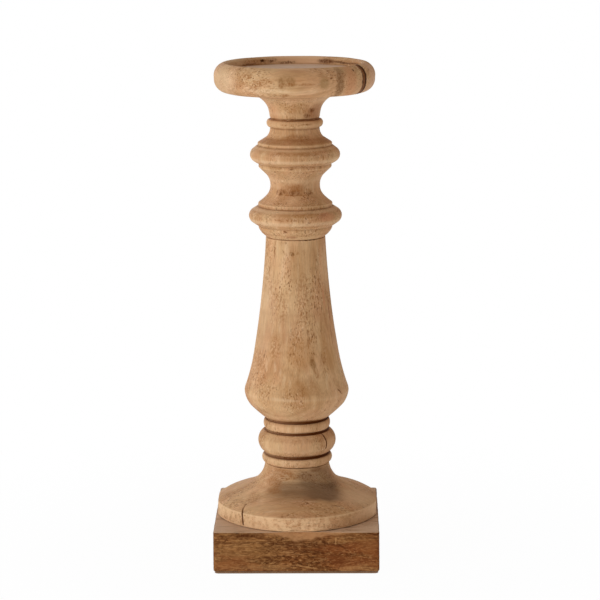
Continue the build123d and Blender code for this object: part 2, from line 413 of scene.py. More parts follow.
def wood(name, grain, tones, heart, rings, figure, crowd):
    """New wood finish, its grain along X or Z, for a piece cut with the tree's heart line at that place.

    tones are the colours of its light wood, brown wood, dark streaks, pores and pale flecks. Growth rings are
    a noise of the distance from the heart line: rings gives their gap and their wander in millimetres and the
    waves of that to the metre, and figure their strength. Streaks, fibres, mottling, pores and flecks are
    noises stretched along the grain, and the last three come in clusters, wider ones for a lower crowd. Gives
    the material, its tree and shader, the place on the piece, the colour, and the surface height from 0 to 1.
    """
    light, brown, dark, pore_tone, pale = tones
    ring_gap, ring_wander, waves = rings
    material, tree, surface, place = finish(name, 0.58, 0.06, (1.0, 0.8, 0.6, 1.0))

    def grain_cloud(across, along, detail):
        per_metre = (along, across, across) if grain == "X" else (across, across, along)
        return cloud(tree, place, per_metre, detail)

    across_only = (0, 1, 1) if grain == "X" else (1, 1, 0)
    off_heart = reckon_vector(tree, "SUBTRACT", place, heart)
    reach = reckon_vector(tree, "LENGTH", reckon_vector(tree, "MULTIPLY", off_heart, across_only))
    reach = reckon(tree, "MULTIPLY_ADD", grain_cloud(2.5 * waves, waves, 3.0), ring_wander * mm, reach)
    ring_inputs = {"W": reach, "Scale": 1 / (ring_gap * mm), "Detail": 3.0}
    ring = add(tree, "ShaderNodeTexNoise", ring_inputs, noise_dimensions="1D").outputs["Fac"]
    blotches = grain_cloud(30, 12, 3.0)
    streaks = grain_cloud(240 + 6 * waves, 1.5 * waves, 3.0)
    fibres = grain_cloud(1500, 80, 3.0)
    mottling = grain_cloud(1050, 340, 1.5)
    pores = grain_cloud(1000, 300, 1.0)
    flecks = grain_cloud(900, 520, 1.0)
    blushes = grain_cloud(70, 30, 2.0)
    clusters = step_up(tree, grain_cloud(55, 26, 3.0), crowd, crowd + 0.14)
    colour = laid(tree, light, brown, blotches, 0.38, 0.62)
    colour = laid(tree, colour, dark, ring, 0.4, 0.66, figure)
    colour = laid(tree, colour, dark, streaks, 0.56, 0.74, 0.35)
    colour = laid(tree, colour, pale, streaks, 0.46, 0.3, 0.35)
    colour = laid(tree, colour, dark, mottling, 0.52, 0.66, 0.68, clusters)
    colour = laid(tree, colour, pale, flecks, 0.62, 0.7, 0.6, clusters)
    pore_share = step_up(tree, clusters, 0, 1, 0.15)
    open_pores = reckon(tree, "MULTIPLY", step_up(tree, pores, 0.63, 0.71), pore_share)
    colour = mix(tree, reckon(tree, "MULTIPLY", open_pores, 0.7), colour, pore_tone)
    rosy = (1.02, 0.99, 1.0, 1.0)
    sallow = (0.985, 1.005, 0.985, 1.0)
    colour = mix(tree, 1.0, colour, laid(tree, rosy, sallow, blushes, 0.38, 0.62), "MULTIPLY")
    shade = step_up(tree, fibres, 0.3, 0.7, 0.9, 1.08)
    colour = add(tree, "ShaderNodeVectorMath", {0: colour, "Scale": shade}, operation="SCALE").outputs[0]
    height = reckon(tree, "MULTIPLY_ADD", open_pores, -0.6, step_up(tree, fibres, 0.3, 0.7, 0.6, 1.0))
    height = reckon(tree, "MULTIPLY_ADD", mottling, -0.3, height)
    tree.links.new(step_up(tree, fibres, 0.3, 0.7, 0.5, 0.66), surface.inputs["Roughness"])
    return material, tree, surface, place, colour, height


def read_mask(tree, mask):
    """The mesh's mask of that name, from 0 to 1."""
    return add(tree, "ShaderNodeAttribute", attribute_name=mask).outputs["Fac"]


def masked(tree, colour, mask, tone, strength, broken=None):
    """Colour turned towards a tone where the mesh's mask is 1, unevenly where a noise is given."""
    share = reckon(tree, "MULTIPLY", read_mask(tree, mask), strength)
    if broken is not None:
        share = reckon(tree, "MULTIPLY", share, step_up(tree, broken, 0.3, 0.55, 0.6, 1.0))
    return mix(tree, share, colour, tone)


def lathe_place(azimuth, radius, height):
    """Point in metres, from an azimuth in degrees, 0 at the front and 90 on the right, and millimetres."""
    angle = math.radians(azimuth)
    return (radius * mm * math.sin(angle), -radius * mm * math.cos(angle), height * mm)


def marks(tree, place, colour, listed):
    """Colour with soft ragged marks laid over it, in order.

    Each mark gives its azimuth, radius and height, its half width, half depth and half height in millimetres,
    the lean of its top to the right in degrees, how much it is broken into specks, its tone and its strength.
    """
    ragged = {"Vector": place, "Scale": 420.0, "Detail": 3.0}
    shake = add(tree, "ShaderNodeTexNoise", ragged).outputs["Color"]
    shaken = reckon_vector(tree, "MULTIPLY_ADD", shake, (2 * mm, 2 * mm, 2 * mm), place)
    shaken = reckon_vector(tree, "SUBTRACT", shaken, (mm, mm, mm))
    specks = step_up(tree, cloud(tree, place, (700, 700, 450)), 0.44, 0.58)
    for azimuth, radius, height, half_width, half_depth, half_height, lean, broken, tone, strength in listed:
        settings = {
            "Vector": shaken,
            "Location": lathe_place(azimuth, radius, height),
            "Rotation": (0, math.radians(lean), math.radians(azimuth)),
            "Scale": (half_width * mm, half_depth * mm, half_height * mm),
        }
        local = add(tree, "ShaderNodeMapping", settings, vector_type="TEXTURE").outputs[0]
        away = reckon_vector(tree, "LENGTH", local)
        kept = reckon(tree, "MULTIPLY_ADD", specks, broken, 1 - broken)
        colour = laid(tree, colour, tone, away, 1.15, 0.4, strength, kept)
    return colour


plank_light = tint(152, 104, 60)
plank_brown = tint(134, 84, 43)
plank_dark = tint(80, 38, 12)
plank_pore = tint(56, 24, 6)
plank_pale = tint(186, 138, 88)
plank_tones = (plank_light, plank_brown, plank_dark, plank_pore, plank_pale)
shadow_tone = tint(76, 36, 12)
ruddy_tone = tint(142, 78, 40)
corner_tone = tint(104, 44, 14)
top_sheen_and_wear_tone = tint(210, 176, 144)
rubbed_tone = tint(184, 134, 90)
foot_edge_dark_tone = tint(78, 42, 18)
end_tone = tint(104, 62, 30)
plinth_wood, tree, surface, place, colour, height = wood(
    "plinth_wood", "X", plank_tones, heart=(0, 0.05, -0.03), rings=(1.3, 7, 60), figure=0.5, crowd=0.36
)
dashes = cloud(tree, place, (260, 900, 900), 3.0)
flurry = step_up(tree, cloud(tree, place, (24, 60, 60)), 0.4, 0.56, 0.5, 1)
colour = laid(tree, colour, shadow_tone, dashes, 0.5, 0.62, 0.4, flurry)
colour = laid(tree, colour, plank_pale, dashes, 0.46, 0.38, 0.35)
curl = cloud(tree, place, (75, 300, 300), 2.5, 1.2)
off_line = reckon(tree, "ABSOLUTE", reckon(tree, "SUBTRACT", curl, 0.5))
colour = laid(tree, colour, shadow_tone, off_line, 0.04, 0.008, 0.8, flurry)
colour = laid(tree, colour, plank_pale, curl, 0.62, 0.7, 0.35)
colour = laid(tree, colour, ruddy_tone, cloud(tree, place, (22, 90, 90), 3.0), 0.48, 0.62, 0.35)
plinth_marks = (
    (4, 63, 22, 30, 9, 9, 0, 0.4, shadow_tone, 0.3),
    (26, 70, 12, 20, 9, 6, -8, 0.4, shadow_tone, 0.2),
    (41, 83, 24, 9, 9, 7, 0, 0.4, plank_light, 0.3),
    (-38, 78, 10, 14, 9, 7, 0, 0.4, shadow_tone, 0.15),
    (-31, 72, 29.6, 14, 9, 1.5, 2, 0.4, plank_dark, 0.95),
    (-22, 67, 27.6, 7, 9, 1.2, 8, 0.4, plank_dark, 0.8),
    (-18, 66, 22, 10, 9, 1.0, -12, 0.5, shadow_tone, 0.6),
    (6, 63, 5.4, 14, 9, 0.7, 9, 0.3, plank_pale, 0.6),
    (34, 75, 4.6, 16, 9, 1.5, 0, 0.4, plank_pale, 0.45),
    (-20, 66, 5, 32, 12, 2.5, 0, 0.3, plank_pale, 0.3),
    (25.4, 69, 25.5, 0.8, 9, 3.4, 0, 0.2, plank_pale, 0.6),
    (29, 71, 21, 4.5, 9, 0.8, 40, 0.2, plank_dark, 0.8),
    (-45, 87, 15.5, 1.6, 9, 2.8, 0, 0.3, corner_tone, 0.7),
    (66, 63.2, 32.5, 2.4, 1.6, 0.9, 0, 0, plank_pore, 0.97),
    (42, 63.2, 32.5, 2.0, 1.5, 0.9, 0, 0, plank_pore, 0.9),
    (54, 63.0, 32.5, 9, 0.9, 0.9, 0, 0.3, plank_pore, 0.7),
    (16, 63.0, 32.5, 9, 0.9, 0.9, 0, 0.3, plank_pore, 0.8),
    (-55, 63, 32.5, 1.2, 1.0, 0.9, 0, 0, plank_pore, 0.7),
)
colour = marks(tree, place, colour, plinth_marks)
# Painted sheen with pale wear: the top face is painted paler, as the light glances off it.
colour = masked(tree, colour, "top", top_sheen_and_wear_tone, 0.9, cloud(tree, place, (60, 400, 400)))
colour = masked(tree, colour, "rubbed", rubbed_tone, 0.8, cloud(tree, place, (300, 500, 700), 3.0))
# Darker band on the top along the foot's edge.
colour = masked(tree, colour, "foot_edge_dark", foot_edge_dark_tone, 0.7)
colour = masked(tree, colour, "end_grain", end_tone, 0.5)
coat(tree, surface, colour, height, 0.3 * mm)
# The top is darker in a ragged band along the foot's edge, most on the right, and not in the rubbed hollow.
foot_radius = 62.4
foot_edge_dark = smooth(np.hypot(block_x, block_y), foot_radius + 1, foot_radius)
foot_edge_dark *= smooth(block_z, plinth_top - 1.2, plinth_top - 0.5) * (1 - rubbed)
foot_edge_dark *= np.clip(0.5 + 0.6 * ripples(block_x * 0.3, block_y, 8, 24, (3, 0.4)), 0, 1)
foot_edge_dark *= 0.45 + 0.55 * smooth(block_x, 2, 14)
# Mask of the top face, for its painted sheen and pale wear.
top_sheen_and_wear = smooth(block_z, plinth_top - 0.9, plinth_top - 0.3)
end_grain = smooth(np.abs(block_x), plinth_half - 1.2, plinth_half - 0.5)
closed_grid(
    "plinth_block",
    np.stack([block_x, block_y, block_z], axis=-1) * mm,
    {"rubbed": rubbed, "foot_edge_dark": foot_edge_dark, "top": top_sheen_and_wear, "end_grain": end_grain},
    plinth_wood,
    "plinth_wood",
    "plinth",
)


# Screws. Four countersunk steel wood screws, bright zinc plated, driven up through the plinth into the foot.
# They keep their CAD shape, sealed in by the felt.
zinc_low = tint(176, 178, 176)
zinc_high = tint(198, 199, 192)
zinc, tree, surface, place = finish("bright_zinc", 0.32)
surface.inputs["Metallic"].default_value = 1.0
plating = cloud(tree, place, (500, 500, 500), 3.0)
tree.links.new(step_up(tree, plating, 0.3, 0.7, 0.24, 0.42), surface.inputs["Roughness"])
colour = laid(tree, zinc_low, zinc_high, plating, 0.35, 0.65)
coat(tree, surface, colour, cloud(tree, place, (300, 300, 4000)), 0.03 * mm)
dress("plinth_screws", zinc)


# Foot. A disc turned from light mango wood, its grain across, with a flat sawn on its left and right sides.
# It stands on the plinth, held by the screws, and a drying crack runs over its rim on the front left.
def between(values, rise, full, fading, gone):
    """Smooth band on an array: up from 0 to 1 between rise and full, down again between fading and gone."""
    return smooth(values, rise, full) * smooth(values, gone, fading)


def blurred(values, width):
    """Values smoothed by a bell curve of that width in samples, their ends held."""
    bell = np.exp(-0.5 * (np.arange(-4 * width, 4 * width + 1) / width) ** 2)
    return np.convolve(np.pad(values, 4 * width, mode="edge"), bell / bell.sum(), mode="valid")


def profile(path, seen, grooves, shade_bands, rows, seed):
    """Rows of a turned outline from its lower pole to its upper one, as named arrays.

    path gives the radius, height and bow of each member's end in millimetres, where the bow is how far an arc
    stands out from its chord, as a share of the chord. The outline is walked in small steps and smoothed, so
    that corners are soft. seen names the first and the last point that no joint hides. Each groove, a height,
    depth, half width and darkness, is pressed in between those two. Wax gathers where the outline is hollower
    than a wider smoothing of it, and wear shows where it stands out from that. The lathe's rings of tone are
    seeded noise about 0.5, with bands of painted shade and painted highlight added to it, each a height, half
    width and amount. Rows lie closest where the outline turns.
    """
    # Millimetres from sample to sample, and the widths of the two smoothings in samples.
    step = 0.1
    soften = 3
    soften_more = 15
    radius = [np.array([path[0][0]])]
    height = [np.array([path[0][1]])]
    ends = [0]
    for (r0, z0, _), (r1, z1, bow) in zip(path, path[1:]):
        chord = math.hypot(r1 - r0, z1 - z0)
        sweep = 2 * math.atan(2 * bow) + 1e-9
        u = np.linspace(-1, 1, math.ceil(chord / step) + 1)[1:]
        along = np.sin(sweep * u) / math.sin(sweep) / 2
        out = (np.cos(sweep * u) - math.cos(sweep)) / math.sin(sweep) / 2
        radius.append((r0 + r1) / 2 + along * (r1 - r0) + out * (z1 - z0))
        height.append((z0 + z1) / 2 + along * (z1 - z0) - out * (r1 - r0))
        ends.append(ends[-1] + len(u))
    radius = np.concatenate(radius)
    height = np.concatenate(height)
    walked = np.concatenate([[0], np.cumsum(np.hypot(np.diff(radius), np.diff(height)))])
    seen_from = walked[ends[seen[0]]]
    seen_to = walked[ends[seen[1]]]
    steps = np.arange(0, walked[-1], step)
    radius = blurred(np.interp(steps, walked, radius), soften)
    height = blurred(np.interp(steps, walked, height), soften)
    radius[[0, -1]] = 0
    slope_r = np.gradient(radius)
    slope_z = np.gradient(height)
    length = np.hypot(slope_r, slope_z) + 1e-12
    normal_r = slope_z / length
    normal_z = -slope_r / length
    shown = smooth(steps, seen_from - 0.3, seen_from + 0.5)
    if seen[1] < len(path) - 1:
        shown = shown * smooth(steps, seen_to + 0.3, seen_to - 0.5)
    pressed = np.zeros(len(steps))
    waxed = np.zeros(len(steps))
    crowd = np.zeros(len(steps))
    for level, depth, half_width, darkness in grooves:
        dip = shown * np.exp(-(((height - level) / half_width) ** 2))
        pressed += depth * dip
        waxed += darkness * dip
        crowd += shown * np.exp(-(((height - level) / (2 * half_width)) ** 2))
    radius = radius - pressed * normal_r
    height = height - pressed * normal_z
    hollow = (blurred(radius, soften_more) - radius) * normal_r
    hollow += (blurred(height, soften_more) - height) * normal_z
    waxed = np.clip(waxed + shown * smooth(hollow, 0.1, 1.0), 0, 1)
    worn = shown * smooth(-hollow, 0.12, 0.5) * (1 - waxed)
    draw = np.random.default_rng(seed)
    rings = np.zeros(len(steps))
    for width, amount in ((6, 0.035), (22, 0.05)):
        noise = blurred(draw.standard_normal(len(steps)), width)
        rings += amount * noise / noise.std()
    # Bands of painted shade and painted highlight are added to the rings.
    for level, half_width, amount in shade_bands:
        rings += amount * np.exp(-(((height - level) / half_width) ** 2))
    rings = np.clip(0.5 + rings, 0, 1)
    weight = np.cumsum((0.06 + 0.94 * shown) * (1 + 10 * np.abs(hollow) + 2.5 * crowd))
    at = np.interp(np.linspace(weight[0], weight[-1], rows), weight, steps)
    held = {
        "walked": steps,
        "radius": radius,
        "height": height,
        "normal_r": normal_r,
        "normal_z": normal_z,
        "shown": shown,
        "wax": waxed,
        "worn": worn,
        "rings_and_shade": rings,
    }
    return {name: np.interp(at, steps, values)[:, None] for name, values in held.items()}


def azimuth_lines(count, *cracks):
    """Azimuths of a mesh's upright lines in radians, closer together near each crack's azimuth in degrees."""
    crack_reach = 2.4
    crack_lines = 33
    lines = [np.linspace(-180, 180, count, endpoint=False)]
    for crack in cracks:
        lines.append(crack + np.linspace(-crack_reach, crack_reach, crack_lines))
    return np.radians(np.unique(np.round(np.concatenate(lines), 3)))[None, :]


def crack_depth(rows, azimuth, course, half_width, depth):
    """Depth of a crack: a bell curve across a course of heights and degrees of azimuth, closed at its ends."""
    levels, degrees = np.array(course).T
    off = (azimuth - np.interp(rows["height"], levels, np.radians(degrees))) * rows["radius"]
    span = between(rows["height"], levels[0] - 0.4, levels[0] + 1.2, levels[-1] - 1.2, levels[-1] + 0.4)
    return depth * span * rows["shown"] * np.exp(-((off / half_width) ** 2))


def sanded(rows, azimuth, depth, unevenness, seed, count, tightest):
    """Relief that sanding has left where the piece shows: ripples about a depth, and never below 0."""
    relief = depth + unevenness * ripples(azimuth, rows["walked"], seed, count, tightest)
    return np.clip(relief, 0, None) * rows["shown"]


def spun(rows, azimuth, inward):
    """Points at each row's radius and height round the axis, moved in along the normal by that relief."""
    radius = rows["radius"] - inward * rows["normal_r"]
    height = rows["height"] - inward * rows["normal_z"]
    points = np.broadcast_arrays(radius * np.sin(azimuth), -radius * np.cos(azimuth), height)
    return np.stack(points, axis=-1)


def turned(name, rows, points, material, slot, replaced, **masks):
    """Closed piece with the wax, wear and rings of its outline, the rings with their bands of painted shade
    and highlight. masks adds others, or takes their place.
    """
    carried = {mask: rows[mask] for mask in ("wax", "worn", "rings_and_shade")}
    closed_grid(name, points * mm, carried | masks, material, slot, replaced)


def rings_and_shade(tree, colour, dark, pale, strength):
    """Colour with the lathe's rings and their bands of painted shade and highlight, darker and paler than
    itself.
    """
    level = read_mask(tree, "rings_and_shade")
    colour = laid(tree, colour, dark, level, 0.52, 0.85, strength)
    return laid(tree, colour, pale, level, 0.48, 0.15, strength)


foot_top = level_range("foot")[1]
pin_hole = 10.1
foot_hole_bottom = 45.2
foot_path = (
    (0, plinth_top, 0),
    (foot_radius - 0.25, plinth_top, 0),
    (foot_radius, plinth_top + 0.25, 0),
    (foot_radius, 42.2, 0),
    (foot_radius - 1, 43.2, 0.2),
    (54.5, 46.9, 0.03),
    (33.0, 56.2, -0.03),
    (24.7, foot_top, -0.11),
    (pin_hole, foot_top, 0),
    (pin_hole, foot_hole_bottom, 0),
    (0, foot_hole_bottom, 0),
)
foot_rows = profile(foot_path, (1, 7), ((foot_top, 0.35, 0.4, 0.1),), (), 210, 14)
foot_azimuth = azimuth_lines(390, -44.5, -41)
foot_level = foot_rows["height"]
round_foot = np.degrees(foot_azimuth)
foot_relief = sanded(foot_rows, foot_azimuth, 0.08, 0.05, 11, 28, (16, 0.25))
# Small dents along the rim's lower edge, and chips along its upper edge.
lower_edge = smooth(foot_level, 34.2, 32.8) * foot_rows["shown"]
foot_relief += lower_edge * np.clip(0.09 * ripples(foot_azimuth, 0, 12, 16, (60, 0)), 0, 1)
upper_edge = between(foot_level, 41.0, 42.3, 43.2, 44.4) * foot_rows["shown"]
foot_relief += upper_edge * np.clip(0.22 * ripples(foot_azimuth, 0, 13, 26, (110, 0)) - 0.05, 0, 0.45)
rim = between(foot_level, 33.0, 34.2, 42.6, 43.6) * foot_rows["shown"] * (1 - 0.6 * smooth(round_foot, 8, 48))
# The drying crack fades out as it climbs the slope.
crack_course = ((33.2, -40.2), (38.0, -40.8), (43.2, -41.4), (44.5, -43.2), (47.6, -45.6))
foot_crack = crack_depth(foot_rows, foot_azimuth, crack_course, 0.5, 1.7)
foot_crack *= 0.25 + 0.75 * smooth(foot_level, 46.5, 42.0)
# The rim is worn back at the front, where it would stand out over the plinth's rubbed hollow.
overhang = plinth_half * (np.cos(foot_azimuth) - 1) + hollow_bite(foot_radius * np.sin(foot_azimuth))
front_wear = np.clip(overhang, 0, None) * np.clip((38 - foot_level) / 5.5, 0, 1) ** 1.2 * foot_rows["shown"]
foot_relief = foot_relief * (1 - smooth(front_wear, 0, 0.4)) + front_wear
foot_points = spun(foot_rows, foot_azimuth, foot_relief + foot_crack)
# The flats: what stands out past them moves in to a plane, with a soft edge.
foot_flat = 60.7
flat_blend = 0.15
past = (foot_flat - np.abs(foot_points[..., 0])) / flat_blend
foot_points[..., 0] = np.sign(foot_points[..., 0]) * (foot_flat - flat_blend * np.logaddexp(0, past))
# A dark patch lies on the slope right of the front, with weaker parts on the left and up the neck.
low_edge = 50.8 - 3.4 * smooth(round_foot, 12, 60) + 0.25 * ripples(foot_azimuth, 0, 15, 14, (24, 0))
low_blur = 1.4 + 3.2 * smooth(round_foot, 24, -6)
slope_from = low_edge - 0.8 * low_blur
slope_full = low_edge + 1.2 * low_blur
neck_from = low_edge + 6.5
slope_band = between(foot_level, slope_from, slope_full, neck_from, low_edge + 12.5)
neck_band = between(foot_level, neck_from, low_edge + 10.5, 67, 74)
right_part = between(round_foot, 0, 24, 50, 78) * smooth(foot_points[..., 0], 42, 26)
left_part = 0.85 * between(round_foot, -52, -14, 0, 24)
neck_part = (0.3 + 0.35 * smooth(round_foot, -10, 14)) * between(round_foot, -75, -30, 60, 100)
dark_patch = np.clip(slope_band * (right_part + left_part) + neck_band * neck_part, 0, 1)

pale_tone = tint(226, 192, 153)
light_tones = (tint(211, 170, 127), tint(194, 148, 105), tint(152, 102, 58), tint(106, 62, 26), pale_tone)
wax_tone = tint(94, 42, 1)
stain_tone = tint(140, 84, 34)
dust_and_shade_tone = tint(98, 50, 8)
dark_patch_tone = tint(85, 62, 44)
worn_tone = tint(226, 188, 144)
slope_painted_light_tone = tint(214, 178, 140)
rim_painted_light_tone = tint(216, 176, 136)
foot_wood, tree, surface, place, colour, height = wood(
    "foot_wood", "X", light_tones, heart=(0, 0.03, -0.01), rings=(3.2, 10, 16), figure=0.14, crowd=0.46
)
colour = rings_and_shade(tree, colour, stain_tone, pale_tone, 0.35)
rim_share = read_mask(tree, "rim")
grit = cloud(tree, place, (1100, 1100, 1100))
patches = cloud(tree, place, (330, 330, 220), 3.0)
pale_share = reckon(tree, "MULTIPLY", step_up(tree, patches, 0.42, 0.56, 0.1, 0.6), rim_share)
colour = mix(tree, pale_share, colour, worn_tone)
pitted_share = reckon(tree, "MULTIPLY", step_up(tree, patches, 0.56, 0.44, 0.3, 1), rim_share)
colour = laid(tree, colour, stain_tone, grit, 0.54, 0.66, 0.4, pitted_share)
colour = masked(tree, colour, "worn", worn_tone, 0.5)
foot_marks = (
    # Painted light: two pale marks on the slope and rim right of the front, which the lamp on the left leaves
    # darker.
    (70, 50, 45, 26, 18, 12, 0, 0, slope_painted_light_tone, 0.5),
    (58, 62, 37, 26, 12, 7, 0, 0, rim_painted_light_tone, 0.6),
    (-38, 30, 61, 9, 7, 6, 20, 0.5, stain_tone, 0.5),
    (-46, 44, 50, 9, 9, 4, 20, 0.7, stain_tone, 0.4),
    (-30, 35, 55.5, 8, 6, 2.5, 0, 0.3, stain_tone, 0.5),
    (-14, 27, 66, 10, 7, 4, 0, 0.6, stain_tone, 0.6),
    (14, 28, 65, 9, 7, 3.5, 0, 0.5, dust_and_shade_tone, 0.5),
    (-30, 26, 70, 8, 5, 3, 0, 0.4, stain_tone, 0.5),
    (38, 26, 69.5, 8, 5, 2.5, 0, 0.3, dust_and_shade_tone, 0.5),
)
# Dark patch on the slope right of the front and round the neck.
colour = masked(tree, colour, "dark_patch", dark_patch_tone, 0.72)
colour = marks(tree, place, colour, foot_marks)
colour = masked(tree, colour, "wax", wax_tone, 0.9, cloud(tree, place, (300, 300, 300)))
coat(tree, surface, colour, height, 0.25 * mm)
foot_wax = np.clip(foot_rows["wax"] - 2 * front_wear + 1.5 * foot_crack, 0, 1)
foot_masks = {"wax": foot_wax, "rim": rim, "dark_patch": dark_patch}
turned("foot_disc", foot_rows, foot_points, foot_wood, "foot_wood", "foot", **foot_masks)


# Foot dowel. A bare hardwood pin, 20 mm thick, glued up into the baluster and down into the foot.
# It keeps its CAD shape and is sealed inside.
dowel_tones = (
    tint(214, 184, 142),
    tint(201, 166, 122),
    tint(182, 146, 104),
    tint(150, 116, 80),
    tint(222, 196, 158),
)
dowel_wood, tree, surface, place, colour, height = wood(
    "dowel_wood", "Z", dowel_tones, heart=(0.03, 0.02, 0), rings=(1.8, 6, 12), figure=0.3, crowd=0.5
)
coat(tree, surface, colour, height, 0.1 * mm)
dress("foot_dowel", dowel_wood)


# Baluster. One turning of light mango wood: a knop of ring, torus and ring, a belly and a long taper.
# Dark wax has stayed in its grooves. It is glued down on the foot dowel, with a drying crack in its torus.
def tooled(tree, place, height):
    """Surface height with the fine level lines that the turning tool has left."""
    return reckon(tree, "MULTIPLY_ADD", cloud(tree, place, (12, 12, 1300)), 0.5, height)


baluster_top = level_range("baluster")[1]
baluster_top_radius = 22.6
knop_neck = 24.0
lower_hole_top = 96.8
upper_hole_bottom = 221.0
baluster_path = (
    (0, lower_hole_top, 0),
    (pin_hole, lower_hole_top, 0),
    (pin_hole, foot_top, 0),
    (knop_neck, foot_top, 0),
    (knop_neck, 79.3, 3.0 / 8.3),
    (knop_neck, 97.7, 5.9 / 18.4),
    (knop_neck, 106.6, 1.6 / 8.9),
    (35.8, 117.5, 0.015),
    (40.0, 128.0, 0.076),
    (38.8, 132.6, 0.04),
    (31.8, 161.6, -0.023),
    (baluster_top_radius, baluster_top, -0.0146),
    (pin_hole, baluster_top, 0),
    (pin_hole, upper_hole_bottom, 0),
    (0, upper_hole_bottom, 0),
)
baluster_grooves = (
    (foot_top, 0.35, 0.4, 0.0),
    (79.1, 0.8, 0.8, 0.9),
    (97.7, 0.9, 0.6, 1.0),
    (106.6, 1.2, 0.75, 1.0),
    (baluster_top, 0.4, 0.35, 0.4),
)
# Bands of painted shade and painted highlight in the lathe rings: darker over the upper sides of the lower
# ring, the torus and the upper ring, under the belly and over its top, and paler on the lower sides of the
# torus and the upper ring and along the belly's crest.
baluster_shade_bands = (
    (77.6, 0.9, 0.2),
    (84.5, 2.5, -0.12),
    (94.6, 2.4, 0.25),
    (100.2, 1.4, -0.15),
    (104.8, 1.2, 0.22),
    (108.2, 1.2, 0.25),
    (127.6, 1.3, -0.22),
    (132.5, 2.5, 0.1),
)
baluster_rows = profile(baluster_path, (3, 11), baluster_grooves, baluster_shade_bands, 268, 24)
baluster_azimuth = azimuth_lines(318, 50)
baluster_relief = sanded(baluster_rows, baluster_azimuth, 0.1, 0.06, 21, 30, (9, 0.12))
torus_crack = crack_depth(baluster_rows, baluster_azimuth, ((85, 49.5), (91, 51), (97, 49)), 0.4, 1.6)
baluster_points = spun(baluster_rows, baluster_azimuth, baluster_relief + torus_crack)
